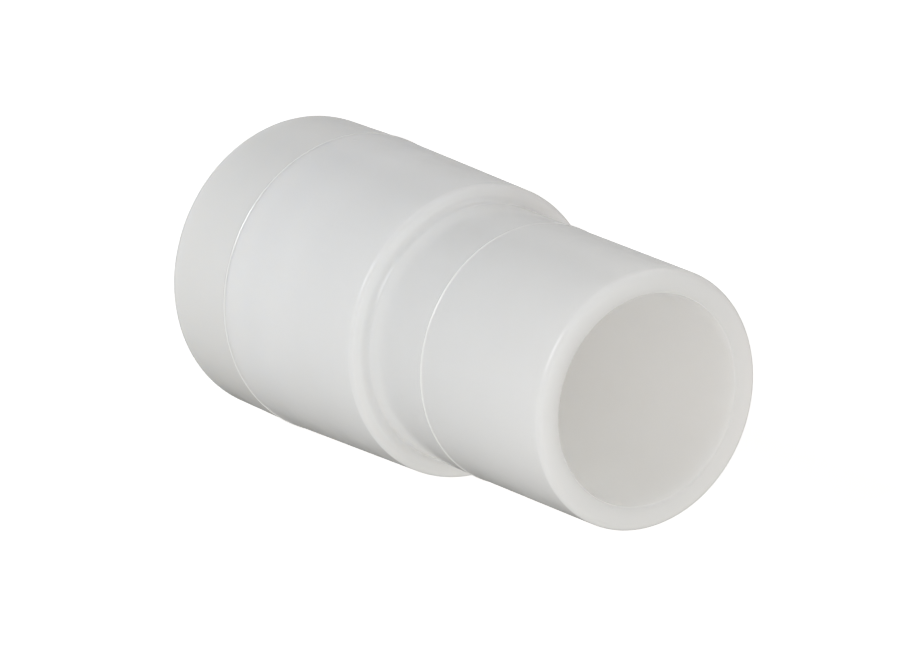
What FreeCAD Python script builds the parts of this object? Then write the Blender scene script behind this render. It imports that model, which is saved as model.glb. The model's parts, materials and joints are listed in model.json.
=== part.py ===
"""Push-fit coupling: a plain 28 mm stem at one end, a push-fit socket for 22 mm pipe at the other.

Millimetres. X is the bore axis. The origin is on that axis in the plane of the pipe stop,
where a pipe pushed into the socket comes to rest. +X points out of the stem and -X points
out of the socket's mouth. Every ring is turned about X from a half section in (x, radius).
"""

import FreeCAD, Part

import math
import os

# Sizes that the coupling is made for
STEM_R = 14.0
PIPE_R = 11.0
PIPE_CLEARANCE = 0.25

# Stem
STEM_WALL = 2.8
STEM_LENGTH = 30.4
STEM_NOSE_R = 13.8
STEM_NOSE_ROUND = 0.65
STEM_BORE_ROUND = 0.25
DEPTH_MARK_FROM_SHOULDER = 10.0

# Outside of the socket
SHOULDER_R = 15.95
SHOULDER_ROUND = 0.5
SHOULDER_FILLET = 0.8
SEAM_R = 16.6
SEAM_X = -21.1
MOUTH_R = 16.5
MOUTH_X = -32.0
MOUTH_ROUND = 1.2

# Fine raised lines: the depth mark on the stem and the weld line at the cap
BEAD_HEIGHT = 0.09
BEAD_HALF_WIDTH = 0.2
BEAD_ROUND = 0.12
SEAM_LINE_ROUND = 0.05

# Pipe stop and socket bore
STOP_THICKNESS = 2.0
STOP_R = 9.7
SOCKET_LENGTH = 16.6
LEAD_IN_ROUND = 0.5

# Seal, and the seat that it is squeezed in
SEAL_SEAT_R = 13.45
SEAL_GAP = 0.2
SEAL_WIDTH = 3.3
SEAL_PIPE_GAP = 0.06
SEAL_WALL_GAP = 0.01
SEAL_ROUND = 1.15

# Grip seat, where the spacer, the grab ring and the backing ring are stacked
GRIP_SEAT_X = -22.1
GRIP_SEAT_R = 14.6
STACK_R = 14.5
SLEEVE_R = 15.5
SLEEVE_END_X = -25.5
SLEEVE_CHAMFER = 0.3
WELD_GAP = 0.02

SPACER_END_X = -20.3
SPACER_FACE_X = -23.5
SPACER_NOSE_R = 13.35
SPACER_BORE_R = 11.35
SPACER_POCKET_X = -20.8
SPACER_POCKET_R = 11.7
SPACER_POCKET_MOUTH_R = 13.05

# Grab ring, stamped from spring strip
STRIP = 0.4
GRAB_RIM_R = 14.4
TOOTH_ROOT_R = 13.0
TOOTH_TIP_GAP = 0.06
TOOTH_LEAN_DEG = 35.0
TOOTH_COUNT = 16
TOOTH_SLOT = 1.1
TOOTH_SLOT_ROOT_R = 13.1
GRAB_END_FLOAT = 0.05
GRAB_BEND_OUTER_ROUND = 0.4
GRAB_BEND_INNER_ROUND = 0.8

BACKING_END_X = -25.6
BACKING_BORE_R = 12.9

# Retaining cap
CAP_CAVITY_R = 13.6
CAP_LIP_X = -28.4
CAP_GUIDE_R = 12.75
CAP_RECESS_R = 14.25
CAP_RECESS_DEPTH = 1.0

# Release collet
COLLET_BORE_R = 11.2
COLLET_R = 12.65
COLLET_FRONT_X = -33.9
COLLET_RIM_R = 14.0
COLLET_RIM_THICKNESS = 1.2
COLLET_BEAD_X = -28.3
COLLET_BEAD_R = 13.4
COLLET_BEAD_FLAT = 0.4
COLLET_BEAD_RAMP = 0.7
COLLET_NOSE_X = -23.95
COLLET_NOSE_R = 11.55
COLLET_NOSE_TAPER = 2.0
COLLET_MOUTH_ROUND = 0.6
COLLET_FINGERS = 8
COLLET_SLOT = 1.2
COLLET_SLOT_END_X = -29.6

# Small edge rounds that moulded and stamped pieces have
EDGE = 0.15
SOFT_EDGE = 0.3

# Places worked out from the sizes above
BORE_R = STEM_R - STEM_WALL
SOCKET_R = PIPE_R + PIPE_CLEARANCE
SHOULDER_X = STOP_THICKNESS
STEM_END_X = SHOULDER_X + STEM_LENGTH
DEPTH_MARK_X = SHOULDER_X + DEPTH_MARK_FROM_SHOULDER
CAP_RECESS_X = MOUTH_X + CAP_RECESS_DEPTH

AXIS_POINT = FreeCAD.Vector(0, 0, 0)
AXIS = FreeCAD.Vector(1, 0, 0)


def flat_vector(x, r):
    """A point of the half section, in the plane that is turned about X."""
    return FreeCAD.Vector(x, r, 0)


def rounded_wire(corners):
    """A closed wire through corners (x, r) or (x, r, round), with tangent arcs at the rounds."""
    points = [flat_vector(c[0], c[1]) for c in corners]
    rounds = [c[2] if len(c) > 2 else 0.0 for c in corners]
    count = len(points)
    entries = []
    exits = []
    middles = []
    for i, point in enumerate(points):
        before = (points[i - 1] - point).normalize()
        after = (points[(i + 1) % count] - point).normalize()
        if rounds[i] == 0.0:
            entries.append(point)
            exits.append(point)
            middles.append(None)
            continue
        half = before.getAngle(after) / 2
        reach = rounds[i] / math.tan(half)
        bisector = (before + after).normalize()
        centre = point + bisector * (rounds[i] / math.sin(half))
        entries.append(point + before * reach)
        exits.append(point + after * reach)
        middles.append(centre - bisector * rounds[i])
    edges = []
    for i in range(count):
        if middles[i] is not None:
            edges.append(Part.Arc(entries[i], middles[i], exits[i]).toShape())
        following = entries[(i + 1) % count]
        if exits[i].distanceToPoint(following) > 1e-6:
            edges.append(Part.LineSegment(exits[i], following).toShape())
    return Part.Wire(edges)


def turned(corners):
    """The solid made by turning a half section once round X."""
    solid = Part.Face(rounded_wire(corners)).revolve(AXIS_POINT, AXIS, 360)
    return solid if solid.Volume > 0 else solid.reversed()


def raised_line(x, radius):
    """Corners of a fine raised line round a surface, listed from +X to -X."""
    return [
        (x + BEAD_HALF_WIDTH, radius),
        (x, radius + BEAD_HEIGHT, BEAD_ROUND),
        (x - BEAD_HALF_WIDTH, radius),
    ]


def radial_slot(width, root_x, end_x, inner_r, outer_r):
    """A slot cut along the axis through a wall above the bore, with a half-round end at root_x."""
    length = end_x - root_x
    box = Part.makeBox(length, width, outer_r - inner_r, FreeCAD.Vector(root_x, -width / 2, inner_r))
    end = Part.makeCylinder(width / 2, outer_r - inner_r, FreeCAD.Vector(root_x, 0, inner_r))
    return box.fuse(end)


def cut_all_round(solid, tool, count):
    """Cuts the tool from the solid at equal angles about X."""
    for i in range(count):
        turned_tool = tool.copy()
        turned_tool.rotate(AXIS_POINT, AXIS, 360.0 * i / count)
        solid = solid.cut(turned_tool)
    return solid


def coupling_body():
    """The main moulding: stem, shoulder, pipe stop, socket bore and the seats inside the socket."""
    stop_ramp = BORE_R - STOP_R
    return turned(
        [
            (STEM_END_X, BORE_R, STEM_BORE_ROUND),
            (STEM_END_X, STEM_NOSE_R, STEM_NOSE_ROUND),
        ]
        + raised_line(DEPTH_MARK_X, STEM_R)
        + [
            (SHOULDER_X, STEM_R, SHOULDER_FILLET),
            (SHOULDER_X, SHOULDER_R, SHOULDER_ROUND),
            (SEAM_X, SEAM_R),
            (SEAM_X, SLEEVE_R),
            (SLEEVE_END_X + SLEEVE_CHAMFER, SLEEVE_R),
            (SLEEVE_END_X, SLEEVE_R - SLEEVE_CHAMFER),
            (SLEEVE_END_X, GRIP_SEAT_R, EDGE),
            (GRIP_SEAT_X, GRIP_SEAT_R),
            (GRIP_SEAT_X, SEAL_SEAT_R, SOFT_EDGE),
            (-SOCKET_LENGTH, SEAL_SEAT_R, SOFT_EDGE),
            (-SOCKET_LENGTH, SOCKET_R, LEAD_IN_ROUND),
            (0, SOCKET_R),
            (0, STOP_R, EDGE),
            (STOP_THICKNESS, STOP_R, SOFT_EDGE),
            (STOP_THICKNESS + stop_ramp, BORE_R, SOFT_EDGE),
        ]
    )


def retaining_cap():
    """The ring welded over the body's sleeve: it holds the stack in and guides the collet."""
    sleeve_bore = SLEEVE_R + WELD_GAP
    return turned(
        [
            (SEAM_X, sleeve_bore),
            (SEAM_X, SEAM_R + BEAD_HEIGHT, SEAM_LINE_ROUND),
            (SEAM_X - BEAD_HALF_WIDTH, SEAM_R),
            (MOUTH_X, MOUTH_R, MOUTH_ROUND),
            (MOUTH_X, CAP_RECESS_R, SOFT_EDGE),
            (CAP_RECESS_X, CAP_RECESS_R, EDGE),
            (CAP_RECESS_X, CAP_GUIDE_R, SOFT_EDGE),
            (CAP_LIP_X, CAP_GUIDE_R, EDGE),
            (CAP_LIP_X, CAP_CAVITY_R),
            (BACKING_END_X, CAP_CAVITY_R, EDGE),
            (BACKING_END_X, sleeve_bore),
        ]
    )


def seal_ring():
    """The O-ring, in the flattened shape that it has between its seat and a pipe."""
    inner = PIPE_R + SEAL_PIPE_GAP
    outer = SEAL_SEAT_R - SEAL_WALL_GAP
    near = -SOCKET_LENGTH - SEAL_GAP
    far = near - SEAL_WIDTH
    return turned([(x, r, SEAL_ROUND) for x, r in ((near, inner), (near, outer), (far, outer), (far, inner))])


def spacer_ring():
    """The ring that keeps the teeth off the seal, with a pocket that the teeth bend into."""
    return turned(
        [
            (SPACER_END_X, SPACER_BORE_R, EDGE),
            (SPACER_END_X, SPACER_NOSE_R, EDGE),
            (GRIP_SEAT_X, SPACER_NOSE_R),
            (GRIP_SEAT_X, STACK_R, EDGE),
            (SPACER_FACE_X, STACK_R, EDGE),
            (SPACER_FACE_X, SPACER_POCKET_MOUTH_R),
            (SPACER_POCKET_X, SPACER_POCKET_R),
            (SPACER_POCKET_X, SPACER_BORE_R, EDGE),
        ]
    )


def grab_ring():
    """A spring steel washer whose teeth lean inwards, away from the socket's mouth."""
    lean = math.radians(TOOTH_LEAN_DEG)
    rim_front = SPACER_FACE_X - GRAB_END_FLOAT
    rim_back = rim_front - STRIP
    tip_r = PIPE_R + TOOTH_TIP_GAP
    tip_x = rim_back + (TOOTH_ROOT_R - tip_r) * math.tan(lean)
    tip_upper_x = tip_x + STRIP * math.cos(lean)
    tip_upper_r = tip_r + STRIP * math.sin(lean)
    bend_r = tip_upper_r + (tip_upper_x - rim_front) / math.tan(lean)
    washer = turned(
        [
            (rim_front, GRAB_RIM_R),
            (rim_front, bend_r, GRAB_BEND_OUTER_ROUND),
            (tip_upper_x, tip_upper_r),
            (tip_x, tip_r),
            (rim_back, TOOTH_ROOT_R, GRAB_BEND_INNER_ROUND),
            (rim_back, GRAB_RIM_R),
        ]
    )
    slot_start = rim_back - STRIP
    depth = tip_upper_x + STRIP - slot_start
    slot_box = Part.makeBox(
        depth, TOOTH_SLOT, TOOTH_SLOT_ROOT_R, FreeCAD.Vector(slot_start, -TOOTH_SLOT / 2, 0)
    )
    slot_root = Part.makeCylinder(
        TOOTH_SLOT / 2, depth, FreeCAD.Vector(slot_start, 0, TOOTH_SLOT_ROOT_R), AXIS
    )
    return cut_all_round(washer, slot_box.fuse(slot_root), TOOTH_COUNT)


def backing_ring():
    """The ring between the grab ring and the cap that the gripping force passes through."""
    front = SPACER_FACE_X - 2 * GRAB_END_FLOAT - STRIP
    return turned(
        [
            (front, BACKING_BORE_R, SOFT_EDGE),
            (front, STACK_R, EDGE),
            (BACKING_END_X, STACK_R, EDGE),
            (BACKING_END_X, BACKING_BORE_R, EDGE),
        ]
    )


def release_collet():
    """The sliding collar: a rim to press, a snap bead on slotted fingers, and a nose that lifts the teeth."""
    rim_back = COLLET_FRONT_X + COLLET_RIM_THICKNESS
    bead_flat_end = COLLET_BEAD_X + COLLET_BEAD_FLAT
    collar = turned(
        [
            (COLLET_FRONT_X, COLLET_BORE_R, COLLET_MOUTH_ROUND),
            (COLLET_FRONT_X, COLLET_RIM_R, SOFT_EDGE),
            (rim_back, COLLET_RIM_R, SOFT_EDGE),
            (rim_back, COLLET_R, SOFT_EDGE),
            (COLLET_BEAD_X, COLLET_R),
            (COLLET_BEAD_X, COLLET_BEAD_R, EDGE),
            (bead_flat_end, COLLET_BEAD_R, EDGE),
            (bead_flat_end + COLLET_BEAD_RAMP, COLLET_R),
            (COLLET_NOSE_X - COLLET_NOSE_TAPER, COLLET_R),
            (COLLET_NOSE_X, COLLET_NOSE_R, EDGE),
            (COLLET_NOSE_X, COLLET_BORE_R, EDGE),
        ]
    )
    slot = radial_slot(COLLET_SLOT, COLLET_SLOT_END_X, COLLET_NOSE_X + EDGE, PIPE_R / 2, COLLET_RIM_R)
    return cut_all_round(collar, slot, COLLET_FINGERS)


PIECES = {
    "coupling_body": coupling_body,
    "retaining_cap": retaining_cap,
    "seal_ring": seal_ring,
    "spacer_ring": spacer_ring,
    "grab_ring": grab_ring,
    "backing_ring": backing_ring,
    "release_collet": release_collet,
}


def main():
    os.makedirs("parts", exist_ok=True)
    for name, make in PIECES.items():
        shape = make()
        box = shape.BoundBox
        print(
            f"{name}: valid {shape.isValid()}, solids {len(shape.Solids)}, {shape.Volume:.1f} mm3, "
            f"x {box.XMin:.2f} to {box.XMax:.2f}, radius {box.YMax:.2f}"
        )
        shape.exportStep(f"parts/{name}.step")


main()
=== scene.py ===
"""Looks for the push-fit coupling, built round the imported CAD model.

X is the bore axis, and the origin is on it at the pipe stop. Blender's pieces are in metres.
An outline is a half section in millimetres, corners of (x, radius, round), turned about X.
"""

import json
import math

import bmesh
import bpy
from mathutils import Matrix, Vector


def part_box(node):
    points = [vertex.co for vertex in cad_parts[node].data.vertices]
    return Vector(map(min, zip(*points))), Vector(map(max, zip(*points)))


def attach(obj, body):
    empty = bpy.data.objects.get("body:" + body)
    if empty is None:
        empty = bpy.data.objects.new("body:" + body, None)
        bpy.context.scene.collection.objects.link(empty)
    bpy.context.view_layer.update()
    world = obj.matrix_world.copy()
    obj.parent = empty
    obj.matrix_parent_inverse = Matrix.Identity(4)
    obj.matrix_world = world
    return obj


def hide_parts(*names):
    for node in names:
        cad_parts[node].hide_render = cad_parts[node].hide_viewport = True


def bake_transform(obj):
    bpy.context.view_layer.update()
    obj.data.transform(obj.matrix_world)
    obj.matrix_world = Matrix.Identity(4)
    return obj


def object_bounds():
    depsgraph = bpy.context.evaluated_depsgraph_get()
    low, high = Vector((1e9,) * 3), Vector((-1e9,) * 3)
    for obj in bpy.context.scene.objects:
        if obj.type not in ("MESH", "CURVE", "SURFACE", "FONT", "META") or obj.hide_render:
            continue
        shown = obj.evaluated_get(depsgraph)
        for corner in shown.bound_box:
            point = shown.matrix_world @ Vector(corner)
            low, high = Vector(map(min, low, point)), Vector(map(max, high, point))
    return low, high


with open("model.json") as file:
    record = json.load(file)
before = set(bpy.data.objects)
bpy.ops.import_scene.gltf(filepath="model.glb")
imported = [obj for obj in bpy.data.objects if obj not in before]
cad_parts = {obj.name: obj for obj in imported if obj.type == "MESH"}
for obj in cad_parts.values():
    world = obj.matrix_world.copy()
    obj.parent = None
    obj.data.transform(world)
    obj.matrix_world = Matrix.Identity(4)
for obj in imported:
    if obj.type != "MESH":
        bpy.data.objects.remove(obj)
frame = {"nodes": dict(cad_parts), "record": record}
cad_box = [list(corner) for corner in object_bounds()]

MM = 0.001

# ---------------------------------------------------------------- sizes, in millimetres


def reach(node):
    """Lowest x, highest x and outer radius of a CAD node, to the nearest hundredth."""
    low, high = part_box(node)
    return round(low[0] / MM, 2), round(high[0] / MM, 2), round(high[2] / MM, 2)


MOUNTS = {mount["name"]: mount for mount in frame["record"]["mounts"]}
STEM_R = MOUNTS["stem"]["dims"]["r_mm"]
BORE_R = MOUNTS["stem_bore"]["dims"]["r_mm"]
SOCKET_R = MOUNTS["socket"]["dims"]["r_mm"]
SLEEVE_END_X, STEM_END_X, SEAM_R = reach("coupling_body")
MOUTH_X, SEAM_X, _ = reach("retaining_cap")
SEAL_FAR_X, SEAL_NEAR_X, SEAL_OUTER_R = reach("seal_ring")
SPACER_FACE_X, SPACER_END_X, STACK_R = reach("spacer_ring")
GRAB_BACK_X, _, GRAB_RIM_R = reach("grab_ring")
BACKING_END_X, BACKING_FRONT_X, _ = reach("backing_ring")
COLLET_FRONT_X, COLLET_NOSE_X, COLLET_RIM_R = reach("release_collet")

# Stem, shoulder and the fine raised lines
STEM_NOSE_R = 13.8
STEM_NOSE_ROUND = 0.65
STEM_BORE_ROUND = 0.25
SHOULDER_X = 2.0
SHOULDER_R = 15.95
SHOULDER_ROUND = 0.5
SHOULDER_FILLET = 0.8
DEPTH_MARK_X = SHOULDER_X + 10.0
LINE_HEIGHT = 0.09
LINE_HALF_WIDTH = 0.2
LINE_ROUND = 0.12

# Inside of the socket
STOP_R = 9.7
SOCKET_END_X = -16.6
LEAD_IN_ROUND = 0.5
SEAL_SEAT_R = 13.45
GRIP_SEAT_X = -22.1
GRIP_SEAT_R = 14.6
SLEEVE_R = 15.5
SLEEVE_CHAMFER = 0.3

# Cap
WELD_GAP = 0.02
CAP_SLEEVE_R = SLEEVE_R + WELD_GAP
CAP_CAVITY_R = 13.6
CAP_LIP_X = -28.4
CAP_GUIDE_R = 12.75
CAP_RECESS_R = 14.25
CAP_RECESS_X = MOUTH_X + 1.0
MOUTH_R = 16.5
MOUTH_ROUND = 1.2

# Rings
SEAL_INNER_R = 11.06
SEAL_ROUND = 1.15
SPACER_NOSE_R = 13.35
SPACER_BORE_R = 11.35
SPACER_POCKET_X = -20.8
SPACER_POCKET_R = 11.7
SPACER_POCKET_MOUTH_R = 13.05
BACKING_BORE_R = 12.9

# Grab ring
STRIP = 0.4
TOOTH_ROOT_R = 13.0
TOOTH_TIP_R = 11.06
TOOTH_LEAN = math.radians(35)
TOOTH_COUNT = 16
TOOTH_SLOT = 1.1
TOOTH_SLOT_ROOT_R = 13.1

# Collet
COLLET_R = 12.65
COLLET_BORE_R = 11.2
COLLET_MOUTH_ROUND = 0.6
COLLET_RIM_BACK_X = COLLET_FRONT_X + 1.2
COLLET_BEAD_X = -28.3
COLLET_BEAD_END_X = COLLET_BEAD_X + 0.4
COLLET_BEAD_R = 13.4
COLLET_NOSE_R = 11.55
COLLET_NOSE_TAPER = 2.0
COLLET_FINGERS = 8
COLLET_SLOT = 1.2
COLLET_SLOT_END_X = -29.6

# Rounds
FINE = 0.05
EDGE = 0.15
SOFT = 0.3

# Mesh fineness
SIDES = 256
ARC_STEP = math.radians(12)
RUN_STEP = 1.2
HOLD = 0.06
SLOT_END_STEPS = 12
BEVEL_LIMIT = math.radians(50)
SHARP_LIMIT = math.radians(40)

# ---------------------------------------------------------------- turned meshes


def outline(corners):
    """Points (x, radius) of a closed outline: arcs at the corners' rounds, and points along the
    straight runs, close to their ends as well, which keeps the shading of a round on the round."""
    spots = [Vector((x, r)) for x, r, _ in corners]
    count = len(spots)
    arcs = []
    for i, spot in enumerate(spots):
        before = (spots[i - 1] - spot).normalized()
        after = (spots[(i + 1) % count] - spot).normalized()
        half = before.angle(after) / 2
        radius = corners[i][2]
        centre = spot + (before + after).normalized() * (radius / math.sin(half))
        arm = spot + before * (radius / math.tan(half)) - centre
        turn = math.pi - 2 * half
        side = 1 if before.cross(after) < 0 else -1
        steps = max(2, math.ceil(turn / ARC_STEP))
        turns = [side * turn * k / steps for k in range(steps + 1)]
        arcs.append([centre + Matrix.Rotation(angle, 2) @ arm for angle in turns])
    points = []
    for i, arc in enumerate(arcs):
        points += arc
        run = arcs[(i + 1) % count][0] - arc[-1]
        if run.length < 4 * HOLD:
            continue
        step = run.normalized()
        pieces = max(1, math.ceil((run.length - 2 * HOLD) / RUN_STEP))
        for k in range(pieces + 1):
            points.append(arc[-1] + step * (HOLD + (run.length - 2 * HOLD) * k / pieces))
    return points


def turned(corners):
    """A mesh made by turning an outline about X, in metres."""
    points = outline(corners)
    count = len(points)
    verts = []
    for k in range(SIDES):
        angle = 2 * math.pi * k / SIDES
        verts += [(x * MM, r * math.cos(angle) * MM, r * math.sin(angle) * MM) for x, r in points]
    faces = []
    for k in range(SIDES):
        here, there = k * count, (k + 1) % SIDES * count
        for i in range(count):
            j = (i + 1) % count
            faces.append((here + i, here + j, there + j, there + i))
    mesh = bpy.data.meshes.new("turned")
    mesh.from_pydata(verts, [], faces)
    work = bmesh.new()
    work.from_mesh(mesh)
    bmesh.ops.recalc_face_normals(work, faces=work.faces)
    work.to_mesh(mesh)
    work.free()
    return mesh


def prism(points, push):
    """A closed mesh: a polygon of points in metres, pushed along a vector."""
    work = bmesh.new()
    face = work.faces.new([work.verts.new(point) for point in points])
    grown = bmesh.ops.extrude_face_region(work, geom=[face])["geom"]
    bmesh.ops.translate(work, vec=push, verts=[v for v in grown if isinstance(v, bmesh.types.BMVert)])
    bmesh.ops.recalc_face_normals(work, faces=work.faces)
    mesh = bpy.data.meshes.new("prism")
    work.to_mesh(mesh)
    work.free()
    return mesh


def repeated(mesh, count):
    """One mesh that holds copies of a mesh at equal angles about X."""
    work = bmesh.new()
    for k in range(count):
        turned_copy = mesh.copy()
        turned_copy.transform(Matrix.Rotation(2 * math.pi * k / count, 4, "X"))
        work.from_mesh(turned_copy)
    whole = bpy.data.meshes.new("repeated")
    work.to_mesh(whole)
    work.free()
    return whole


def slotted(mesh, cutters, edge):
    """The mesh with the cutters taken out of it and the cut edges broken by a small bevel."""
    scene = bpy.context.scene
    blank = bpy.data.objects.new("blank", mesh)
    tool = bpy.data.objects.new("tool", cutters)
    for thing in (blank, tool):
        scene.collection.objects.link(thing)
    cut = blank.modifiers.new("cut", "BOOLEAN")
    cut.operation = "DIFFERENCE"
    cut.solver = "EXACT"
    cut.object = tool
    bevel = blank.modifiers.new("bevel", "BEVEL")
    bevel.limit_method = "ANGLE"
    bevel.angle_limit = BEVEL_LIMIT
    bevel.width = edge * MM
    bevel.segments = 2
    graph = bpy.context.evaluated_depsgraph_get()
    result = bpy.data.meshes.new_from_object(blank.evaluated_get(graph))
    for thing in (blank, tool):
        bpy.data.objects.remove(thing)
    return result


def add_piece(name, mesh, body, material, shade_limit=None):
    """A finished piece, which stands for the CAD node of the same name if there is one."""
    mesh.name = name
    mesh.materials.clear()
    mesh.materials.append(material)
    for polygon in mesh.polygons:
        polygon.use_smooth = True
    if shade_limit:
        mesh.set_sharp_from_angle(angle=shade_limit)
    piece = bpy.data.objects.new(name + "_finished", mesh)
    bpy.context.scene.collection.objects.link(piece)
    if name in frame["nodes"]:
        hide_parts(name)
    if body:
        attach(piece, body)
    return piece


# ---------------------------------------------------------------- the pieces


def raised_line(x, radius):
    """Corners of a fine raised line round a surface, listed from +X to -X."""
    return [
        (x + LINE_HALF_WIDTH, radius, FINE),
        (x, radius + LINE_HEIGHT, LINE_ROUND),
        (x - LINE_HALF_WIDTH, radius, FINE),
    ]


def coupling_body(material, line_bead_and_painted_highlight_material):
    ramp_end_x = SHOULDER_X + BORE_R - STOP_R
    mesh = turned(
        [
            (STEM_END_X, BORE_R, STEM_BORE_ROUND),
            (STEM_END_X, STEM_NOSE_R, STEM_NOSE_ROUND),
        ]
        + raised_line(DEPTH_MARK_X, STEM_R)
        + [
            (SHOULDER_X, STEM_R, SHOULDER_FILLET),
            (SHOULDER_X, SHOULDER_R, SHOULDER_ROUND),
            (SEAM_X, SEAM_R, FINE),
            (SEAM_X, SLEEVE_R, FINE),
            (SLEEVE_END_X + SLEEVE_CHAMFER, SLEEVE_R, FINE),
            (SLEEVE_END_X, SLEEVE_R - SLEEVE_CHAMFER, FINE),
            (SLEEVE_END_X, GRIP_SEAT_R, EDGE),
            (GRIP_SEAT_X, GRIP_SEAT_R, FINE),
            (GRIP_SEAT_X, SEAL_SEAT_R, SOFT),
            (SOCKET_END_X, SEAL_SEAT_R, SOFT),
            (SOCKET_END_X, SOCKET_R, LEAD_IN_ROUND),
            (0, SOCKET_R, FINE),
            (0, STOP_R, EDGE),
            (SHOULDER_X, STOP_R, SOFT),
            (ramp_end_x, BORE_R, SOFT),
        ]
    )
    add_piece("coupling_body", mesh, "housing", material)
    # The depth mark's faces take the raised lines' plastic: a painted highlight along the ridge, partly
    # the thin bead itself.
    mesh.materials.append(line_bead_and_painted_highlight_material)
    for polygon in mesh.polygons:
        radius = math.hypot(polygon.center.y, polygon.center.z) / MM
        if radius > STEM_R and abs(polygon.center.x / MM - DEPTH_MARK_X) < LINE_HALF_WIDTH:
            polygon.material_index = 1


def retaining_cap(material):
    mesh = turned(
        [
            (SEAM_X - WELD_GAP, CAP_SLEEVE_R, FINE),
            (SEAM_X - WELD_GAP, SEAM_R, FINE),
            (MOUTH_X, MOUTH_R, MOUTH_ROUND),
            (MOUTH_X, CAP_RECESS_R, SOFT),
            (CAP_RECESS_X, CAP_RECESS_R, EDGE),
            (CAP_RECESS_X, CAP_GUIDE_R, SOFT),
            (CAP_LIP_X, CAP_GUIDE_R, EDGE),
            (CAP_LIP_X, CAP_CAVITY_R, FINE),
            (BACKING_END_X, CAP_CAVITY_R, EDGE),
            (BACKING_END_X, CAP_SLEEVE_R, FINE),
        ]
    )
    add_piece("retaining_cap", mesh, "housing", material)


def weld_flash(material):
    """The thin bead of plastic that the weld pushed out over the seam between body and cap."""
    mesh = turned(
        [
            (SEAM_X + LINE_HALF_WIDTH + FINE, SEAM_R - FINE, FINE / 2),
            (SEAM_X, SEAM_R + LINE_HEIGHT, LINE_ROUND),
            (SEAM_X - LINE_HALF_WIDTH - FINE, SEAM_R - FINE, FINE / 2),
        ]
    )
    # Its plastic stays lighter than the cap and body: partly the thin bead, partly a painted highlight
    # along the seam.
    add_piece("weld_flash", mesh, "housing", material)


def seal_ring(material):
    sides = [
        (SEAL_NEAR_X, SEAL_INNER_R),
        (SEAL_NEAR_X, SEAL_OUTER_R),
        (SEAL_FAR_X, SEAL_OUTER_R),
        (SEAL_FAR_X, SEAL_INNER_R),
    ]
    mesh = turned([(x, r, SEAL_ROUND) for x, r in sides])
    add_piece("seal_ring", mesh, "housing", material)


def spacer_ring(material):
    mesh = turned(
        [
            (SPACER_END_X, SPACER_BORE_R, EDGE),
            (SPACER_END_X, SPACER_NOSE_R, EDGE),
            (GRIP_SEAT_X, SPACER_NOSE_R, FINE),
            (GRIP_SEAT_X, STACK_R, EDGE),
            (SPACER_FACE_X, STACK_R, EDGE),
            (SPACER_FACE_X, SPACER_POCKET_MOUTH_R, FINE),
            (SPACER_POCKET_X, SPACER_POCKET_R, FINE),
            (SPACER_POCKET_X, SPACER_BORE_R, EDGE),
        ]
    )
    add_piece("spacer_ring", mesh, "housing", material)


def backing_ring(material):
    mesh = turned(
        [
            (BACKING_FRONT_X, BACKING_BORE_R, SOFT),
            (BACKING_FRONT_X, STACK_R, EDGE),
            (BACKING_END_X, STACK_R, EDGE),
            (BACKING_END_X, BACKING_BORE_R, EDGE),
        ]
    )
    add_piece("backing_ring", mesh, "housing", material)


def grab_ring(material):
    """The toothed washer, with its rim flat and its teeth leaning in."""
    rim_front = GRAB_BACK_X + STRIP
    tip_x = GRAB_BACK_X + (TOOTH_ROOT_R - TOOTH_TIP_R) * math.tan(TOOTH_LEAN)
    tip_upper_x = tip_x + STRIP * math.cos(TOOTH_LEAN)
    tip_upper_r = TOOTH_TIP_R + STRIP * math.sin(TOOTH_LEAN)
    bend_r = tip_upper_r + (tip_upper_x - rim_front) / math.tan(TOOTH_LEAN)
    washer = turned(
        [
            (rim_front, GRAB_RIM_R, FINE),
            (rim_front, bend_r, STRIP),
            (tip_upper_x, tip_upper_r, FINE),
            (tip_x, TOOTH_TIP_R, FINE),
            (GRAB_BACK_X, TOOTH_ROOT_R, 2 * STRIP),
            (GRAB_BACK_X, GRAB_RIM_R, FINE),
        ]
    )
    half = TOOTH_SLOT / 2
    notch = [(-half, TOOTH_TIP_R / 2), (half, TOOTH_TIP_R / 2)]
    for k in range(SLOT_END_STEPS + 1):
        turn = math.pi * k / SLOT_END_STEPS
        notch.append((half * math.cos(turn), TOOTH_SLOT_ROOT_R + half * math.sin(turn)))
    start = (GRAB_BACK_X - STRIP) * MM
    length = (tip_upper_x + STRIP) * MM - start
    cutter = prism([(start, y * MM, z * MM) for y, z in notch], (length, 0, 0))
    mesh = slotted(washer, repeated(cutter, TOOTH_COUNT), FINE / 2)
    piece = add_piece("grab_ring", mesh, None, material, SHARP_LIMIT)
    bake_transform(piece)


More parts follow.
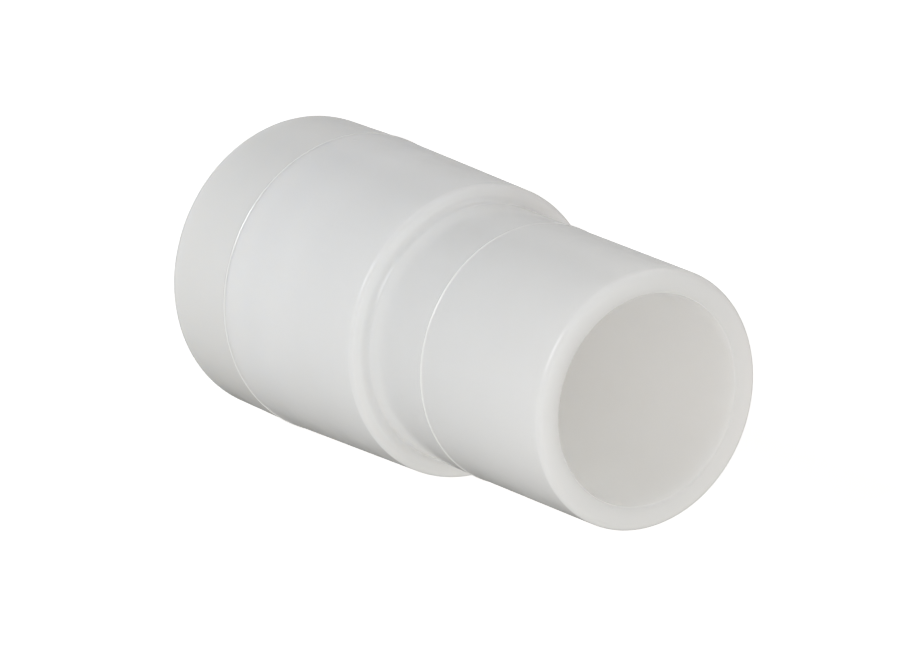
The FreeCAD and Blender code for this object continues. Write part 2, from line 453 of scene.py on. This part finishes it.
def release_collet(material):
    collar = turned(
        [
            (COLLET_FRONT_X, COLLET_BORE_R, COLLET_MOUTH_ROUND),
            (COLLET_FRONT_X, COLLET_RIM_R, SOFT),
            (COLLET_RIM_BACK_X, COLLET_RIM_R, SOFT),
            (COLLET_RIM_BACK_X, COLLET_R, SOFT),
            (COLLET_BEAD_X, COLLET_R, FINE),
            (COLLET_BEAD_X, COLLET_BEAD_R, EDGE),
            (COLLET_BEAD_END_X, COLLET_BEAD_R, EDGE),
            (COLLET_BEAD_END_X + COLLET_BEAD_R - COLLET_R, COLLET_R, FINE),
            (COLLET_NOSE_X - COLLET_NOSE_TAPER, COLLET_R, FINE),
            (COLLET_NOSE_X, COLLET_NOSE_R, EDGE),
            (COLLET_NOSE_X, COLLET_BORE_R, EDGE),
        ]
    )
    half = COLLET_SLOT / 2
    slot = [(COLLET_NOSE_X + EDGE, -half), (COLLET_NOSE_X + EDGE, half)]
    for k in range(SLOT_END_STEPS + 1):
        turn = math.pi / 2 + math.pi * k / SLOT_END_STEPS
        slot.append((COLLET_SLOT_END_X + half * math.cos(turn), half * math.sin(turn)))
    low = COLLET_BORE_R / 2
    cutter = prism([(x * MM, y * MM, low * MM) for x, y in slot], (0, 0, (COLLET_RIM_R - low) * MM))
    mesh = slotted(collar, repeated(cutter, COLLET_FINGERS), FINE)
    add_piece("release_collet", mesh, "collet", material, SHARP_LIMIT)


# ---------------------------------------------------------------- materials

# How deep light goes into the plastic, in millimetres, and how much of its colour's brightness it keeps
BODY_DEPTH = 15.0
CAP_DEPTH = 2.5
# The cap's plastic is darkened: painted shade, a darker copy of the body's plastic.
CAP_PAINTED_SHADE = 0.87
# The raised lines take no light in and stay lighter than the plastic beside them: partly the thin bead,
# partly a painted highlight along their ridges. This sets how light they are.
RAISED_BEAD_AND_PAINTED_HIGHLIGHT_TONE = 0.92

# Light doesn't pass between two meshes as it does through a weld, so it goes less deep near the seam
SEAM_FADE = 14.0
SEAM_DEPTH = 0.15

CLEAR_POLYMER = (0.992, 0.992, 0.986)
DULL_POLYMER = (0.975, 0.972, 0.962)
SPECK_COLOUR = (0.8, 0.77, 0.71)

# The noise's scale along X, Y and Z that draws it out into rings round X, as turning leaves
TURNING = (1, 0.02, 0.02)


def new_material(name, **settings):
    """A material with one Principled shader. Its sockets are set by name, with underscores for spaces."""
    material = bpy.data.materials.new(name)
    material.use_nodes = True
    tree = material.node_tree
    shader = tree.nodes["Principled BSDF"]
    for socket, value in settings.items():
        shader.inputs[socket.replace("_", " ")].default_value = value
    return material, tree, shader


def place(tree, stretch=(1, 1, 1)):
    """The piece's own coordinates in metres, stretched along each axis."""
    coordinates = tree.nodes.new("ShaderNodeTexCoord")
    mapping = tree.nodes.new("ShaderNodeMapping")
    mapping.inputs["Scale"].default_value = stretch
    tree.links.new(coordinates.outputs["Object"], mapping.inputs["Vector"])
    return mapping.outputs["Vector"]


def noise(tree, size, detail=2.0, stretch=(1, 1, 1)):
    """Noise from 0 to 1 with features of about that size in metres."""
    node = tree.nodes.new("ShaderNodeTexNoise")
    node.inputs["Scale"].default_value = 1 / size
    node.inputs["Detail"].default_value = detail
    tree.links.new(place(tree, stretch), node.inputs["Vector"])
    return node.outputs["Fac"]


def ranged(tree, value, low, high, to_low, to_high):
    """A value carried over from one range to another, and held within it."""
    node = tree.nodes.new("ShaderNodeMapRange")
    node.inputs["From Min"].default_value = low
    node.inputs["From Max"].default_value = high
    node.inputs["To Min"].default_value = to_low
    node.inputs["To Max"].default_value = to_high
    tree.links.new(value, node.inputs["Value"])
    return node.outputs["Result"]


def mixed(tree, factor, first, second):
    """A colour between two, each a colour or another node's output."""
    node = tree.nodes.new("ShaderNodeMix")
    node.data_type = "RGBA"
    tree.links.new(factor, node.inputs["Factor"])
    for socket, colour in (("A", first), ("B", second)):
        target = next(s for s in node.inputs if s.name == socket and s.type == "RGBA")
        if isinstance(colour, bpy.types.NodeSocket):
            tree.links.new(colour, target)
        else:
            target.default_value = (*colour, 1)
    return next(s for s in node.outputs if s.type == "RGBA")


def bumped(tree, shader, heights):
    """Stacks bumps: (height output, depth in metres)."""
    normal = None
    for height, depth in heights:
        bump = tree.nodes.new("ShaderNodeBump")
        bump.inputs["Strength"].default_value = 1.0
        bump.inputs["Distance"].default_value = depth
        tree.links.new(height, bump.inputs["Height"])
        if normal:
            tree.links.new(normal, bump.inputs["Normal"])
        normal = bump.outputs["Normal"]
    tree.links.new(normal, shader.inputs["Normal"])


def specks(tree, cell, size, share):
    """1 in a few small round spots, one to a cell at most and only in that share of the cells."""
    voronoi = tree.nodes.new("ShaderNodeTexVoronoi")
    voronoi.inputs["Scale"].default_value = 1 / cell
    tree.links.new(place(tree), voronoi.inputs["Vector"])
    spot = ranged(tree, voronoi.outputs["Distance"], size / cell, size / cell / 2, 0, 1)
    apart = tree.nodes.new("ShaderNodeSeparateColor")
    tree.links.new(voronoi.outputs["Color"], apart.inputs["Color"])
    chosen = tree.nodes.new("ShaderNodeMath")
    chosen.operation = "LESS_THAN"
    chosen.inputs[1].default_value = share
    tree.links.new(apart.outputs["Red"], chosen.inputs[0])
    both = tree.nodes.new("ShaderNodeMath")
    both.operation = "MULTIPLY"
    tree.links.new(spot, both.inputs[0])
    tree.links.new(chosen.outputs["Value"], both.inputs[1])
    return both.outputs["Value"]


def natural_polymer(name, depth, shade=1.0):
    """Uncoloured polyolefin: waxy, with faint clouds and a few specks, its colour darkened by the shade
    factor. On the cap this darkening is painted shade; on the raised lines it sets how light their
    painted highlight is.
    Light goes that many millimetres into it, and less near the seam. With no depth, none goes in."""
    material, tree, shader = new_material(
        name,
        IOR=1.5,
        Subsurface_Weight=1.0 if depth else 0.0,
        Subsurface_Radius=(1.0, 0.96, 0.9),
        Subsurface_Scale=depth * MM,
    )
    if depth:
        apart = tree.nodes.new("ShaderNodeSeparateXYZ")
        tree.links.new(place(tree), apart.inputs["Vector"])
        past_seam = tree.nodes.new("ShaderNodeMath")
        past_seam.operation = "SUBTRACT"
        past_seam.inputs[1].default_value = SEAM_X * MM
        tree.links.new(apart.outputs["X"], past_seam.inputs[0])
        from_seam = tree.nodes.new("ShaderNodeMath")
        from_seam.operation = "ABSOLUTE"
        tree.links.new(past_seam.outputs["Value"], from_seam.inputs[0])
        depths = ranged(tree, from_seam.outputs["Value"], 0, SEAM_FADE * MM, SEAM_DEPTH * MM, depth * MM)
        tree.links.new(depths, shader.inputs["Subsurface Scale"])
    clouds = ranged(tree, noise(tree, 8 * MM, 1), 0.2, 0.8, 0, 1)
    clear = [shade * part for part in CLEAR_POLYMER]
    dull = [shade * part for part in DULL_POLYMER]
    colour = mixed(tree, clouds, clear, dull)
    colour = mixed(tree, specks(tree, 8 * MM, 0.14 * MM, 0.3), colour, SPECK_COLOUR)
    tree.links.new(colour, shader.inputs["Base Color"])
    gloss = ranged(tree, noise(tree, 4 * MM, 4), 0.3, 0.7, 0.18, 0.25)
    tree.links.new(gloss, shader.inputs["Roughness"])
    bumped(
        tree,
        shader,
        [
            (noise(tree, 0.25 * MM, 2), 0.002 * MM),
            (noise(tree, 0.5 * MM, 2, TURNING), 0.0015 * MM),
            (specks(tree, 5 * MM, 0.3 * MM, 0.3), 0.01 * MM),
        ],
    )
    return material


def collet_polymer():
    """Acetal: whiter, denser and glossier than the body."""
    material, tree, shader = new_material(
        "collet_polymer",
        IOR=1.48,
        Subsurface_Weight=1.0,
        Subsurface_Radius=(1.0, 0.97, 0.92),
        Subsurface_Scale=1.0 * MM,
    )
    clouds = ranged(tree, noise(tree, 5 * MM, 3), 0.35, 0.65, 0, 1)
    colour = mixed(tree, clouds, (0.93, 0.93, 0.925), (0.9, 0.9, 0.89))
    tree.links.new(colour, shader.inputs["Base Color"])
    gloss = ranged(tree, noise(tree, 3 * MM, 4), 0.3, 0.7, 0.28, 0.34)
    tree.links.new(gloss, shader.inputs["Roughness"])
    bumped(
        tree,
        shader,
        [(noise(tree, 0.2 * MM, 2), 0.0015 * MM), (noise(tree, 0.4 * MM, 2, TURNING), 0.002 * MM)],
    )
    return material


def seal_rubber():
    """Translucent silicone with a film of grease."""
    material, tree, shader = new_material(
        "seal_rubber",
        IOR=1.41,
        Subsurface_Weight=1.0,
        Subsurface_Radius=(1.0, 0.98, 0.94),
        Subsurface_Scale=2.0 * MM,
        Coat_Weight=0.6,
        Coat_Roughness=0.08,
    )
    smears = ranged(tree, noise(tree, 1.5 * MM, 4), 0.4, 0.6, 0, 1)
    colour = mixed(tree, smears, (0.86, 0.87, 0.85), (0.8, 0.81, 0.79))
    tree.links.new(colour, shader.inputs["Base Color"])
    tree.links.new(ranged(tree, smears, 0, 1, 0.3, 0.5), shader.inputs["Roughness"])
    bumped(tree, shader, [(noise(tree, 0.8 * MM, 3), 0.01 * MM), (noise(tree, 0.12 * MM, 2), 0.002 * MM)])
    return material


def spring_steel():
    """Bright stainless strip, with the grain of its rolling and a few darker rub marks."""
    material, tree, shader = new_material("spring_steel", Metallic=1.0, Anisotropic=0.4)
    rubs = ranged(tree, noise(tree, 1.2 * MM, 4), 0.45, 0.7, 0, 1)
    colour = mixed(tree, rubs, (0.66, 0.65, 0.63), (0.5, 0.49, 0.47))
    tree.links.new(colour, shader.inputs["Base Color"])
    grain = noise(tree, 0.1 * MM, 3, (1, 0.08, 1))
    tree.links.new(ranged(tree, grain, 0.3, 0.7, 0.28, 0.42), shader.inputs["Roughness"])
    bumped(tree, shader, [(grain, 0.002 * MM)])
    return material


# ---------------------------------------------------------------- studio

CAMERA_AZIMUTH = 54.75
CAMERA_ELEVATION = 16.30
CAMERA_DISTANCE = 0.6352
CAMERA_AIM = Vector((-0.0002, -0.00016, 0.00025))
CAMERA_LENS = 233.77
SENSOR_WIDTH = 36.0

FLOOR_RADIUS = 1.6
COVE_RADIUS = 0.5
COVE_STEPS = 12
WALL_HEIGHT = 2.4
SWEEP_SIDES = 96
STAGE_GLOW = 0.55

# Light from the sky along each axis, as red, green and blue
SKY = [
    ((1, 0, 0), (1.08, 1.08, 1.05)),
    ((-1, 0, 0), (0.7, 0.71, 0.72)),
    ((0, 1, 0), (0.63, 0.58, 0.54)),
    ((0, -1, 0), (0.68, 0.67, 0.65)),
    ((0, 0, 1), (0.12, 0.12, 0.12)),
    ((0, 0, -1), (0.56, 0.55, 0.51)),
]

# Area lights: name, azimuth, elevation, width, height, power and colour
LIGHT_DISTANCE = 0.9
LIGHTS = [
    ("back", -125, 5, 1.1, 0.9, 1.4, (1.0, 1.0, 1.0)),
    ("kick", 140, 45, 0.6, 0.2, 0.45, (1.0, 1.0, 1.0)),
    ("key", 0, 35, 0.2, 0.4, 2.5, (0.97, 1.0, 1.03)),
]

# Light crosses a translucent wall many times before it leaves the bore
LIGHT_BOUNCES = 12


def toward(azimuth, elevation):
    """Unit vector from the object to something at that azimuth and elevation, in degrees."""
    turn, rise = math.radians(azimuth), math.radians(elevation)
    return Vector((math.sin(turn) * math.cos(rise), -math.cos(turn) * math.cos(rise), math.sin(rise)))


def put(name, data, azimuth, elevation, distance, aim=Vector((0, 0, 0))):
    """Places a camera or light so that it looks at a point."""
    thing = bpy.data.objects.new(name, data)
    bpy.context.scene.collection.objects.link(thing)
    out = toward(azimuth, elevation)
    thing.location = aim + out * distance
    thing.rotation_euler = out.to_track_quat("Z", "Y").to_euler()
    return thing


def add_camera():
    data = bpy.data.cameras.new("camera")
    data.lens = CAMERA_LENS
    data.sensor_fit = "HORIZONTAL"
    data.sensor_width = SENSOR_WIDTH
    data.clip_start = 0.01
    data.clip_end = 100.0
    camera = put("camera", data, CAMERA_AZIMUTH, CAMERA_ELEVATION, CAMERA_DISTANCE, CAMERA_AIM)
    bpy.context.scene.camera = camera


def add_area_light(name, azimuth, elevation, width, height, power, colour):
    data = bpy.data.lights.new(name, "AREA")
    data.shape = "RECTANGLE"
    data.size = width
    data.size_y = height
    data.energy = power
    data.color = colour
    put(name, data, azimuth, elevation, LIGHT_DISTANCE).visible_camera = False


def add_stage():
    """A pale floor that curves up into a round wall. Only the camera sees it."""
    low = min(corner[2] for corner in cad_box)
    side = [(FLOOR_RADIUS, 0.0)]
    for k in range(1, COVE_STEPS + 1):
        turn = math.pi / 2 * k / COVE_STEPS
        side.append((FLOOR_RADIUS + COVE_RADIUS * math.sin(turn), COVE_RADIUS * (1 - math.cos(turn))))
    side.append((FLOOR_RADIUS + COVE_RADIUS, WALL_HEIGHT))
    verts = [(0.0, 0.0, low)]
    for r, z in side:
        for k in range(SWEEP_SIDES):
            turn = 2 * math.pi * k / SWEEP_SIDES
            verts.append((r * math.cos(turn), r * math.sin(turn), low + z))
    faces = [(0, 1 + k, 1 + (k + 1) % SWEEP_SIDES) for k in range(SWEEP_SIDES)]
    for row in range(len(side) - 1):
        for k in range(SWEEP_SIDES):
            a = 1 + row * SWEEP_SIDES + k
            b = 1 + row * SWEEP_SIDES + (k + 1) % SWEEP_SIDES
            faces.append((a, a + SWEEP_SIDES, b + SWEEP_SIDES, b))
    mesh = bpy.data.meshes.new("studio_sweep")
    mesh.from_pydata(verts, [], faces)
    for polygon in mesh.polygons:
        polygon.use_smooth = True
    material, _, _ = new_material(
        "studio_white",
        Base_Color=(0.9, 0.9, 0.9, 1),
        Roughness=0.9,
        Specular_IOR_Level=0.1,
        Emission_Color=(1, 1, 1, 1),
        Emission_Strength=STAGE_GLOW,
    )
    mesh.materials.append(material)
    sweep = bpy.data.objects.new("studio_sweep", mesh)
    bpy.context.scene.collection.objects.link(sweep)
    sweep.visible_diffuse = False
    sweep.visible_glossy = False
    sweep.visible_transmission = False
    sweep.visible_shadow = False


def add_world():
    """Soft light from all round, with its own strength and tint along each direction of SKY."""
    world = bpy.data.worlds.new("studio")
    bpy.context.scene.world = world
    world.use_nodes = True
    tree = world.node_tree
    background = tree.nodes["Background"]
    coordinates = tree.nodes.new("ShaderNodeTexCoord")
    total = None
    for direction, colour in SKY:
        facing = tree.nodes.new("ShaderNodeVectorMath")
        facing.operation = "DOT_PRODUCT"
        facing.inputs[1].default_value = direction
        tree.links.new(coordinates.outputs["Generated"], facing.inputs[0])
        share = tree.nodes.new("ShaderNodeMath")
        share.operation = "POWER"
        share.inputs[1].default_value = 2
        tree.links.new(ranged(tree, facing.outputs["Value"], 0, 1, 0, 1), share.inputs[0])
        glow = tree.nodes.new("ShaderNodeVectorMath")
        glow.operation = "MULTIPLY_ADD"
        glow.inputs[1].default_value = colour
        tree.links.new(share.outputs["Value"], glow.inputs[0])
        if total:
            tree.links.new(total, glow.inputs[2])
        total = glow.outputs["Vector"]
    tree.links.new(total, background.inputs["Color"])
    world.cycles_visibility.glossy = False


def main():
    scene = bpy.context.scene
    scene.view_settings.view_transform = "Standard"
    scene.cycles.max_bounces = LIGHT_BOUNCES
    scene.cycles.diffuse_bounces = LIGHT_BOUNCES
    add_camera()
    add_world()
    add_stage()
    for light in LIGHTS:
        add_area_light(*light)
    plastic = natural_polymer("natural_polymer", BODY_DEPTH)
    # A darker copy of the body's plastic for the cap: painted shade.
    cap_painted_shade_plastic = natural_polymer("natural_polymer_cap_painted_shade", CAP_DEPTH, CAP_PAINTED_SHADE)
    # The raised lines' plastic: lighter than the body, partly a painted highlight.
    thin_bead_and_painted_highlight = natural_polymer("natural_polymer_raised_painted_highlight", 0.0, RAISED_BEAD_AND_PAINTED_HIGHLIGHT_TONE)
    dense = collet_polymer()
    coupling_body(plastic, thin_bead_and_painted_highlight)
    retaining_cap(cap_painted_shade_plastic)
    weld_flash(thin_bead_and_painted_highlight)
    seal_ring(seal_rubber())
    spacer_ring(dense)
    grab_ring(spring_steel())
    backing_ring(dense)
    release_collet(dense)


main()
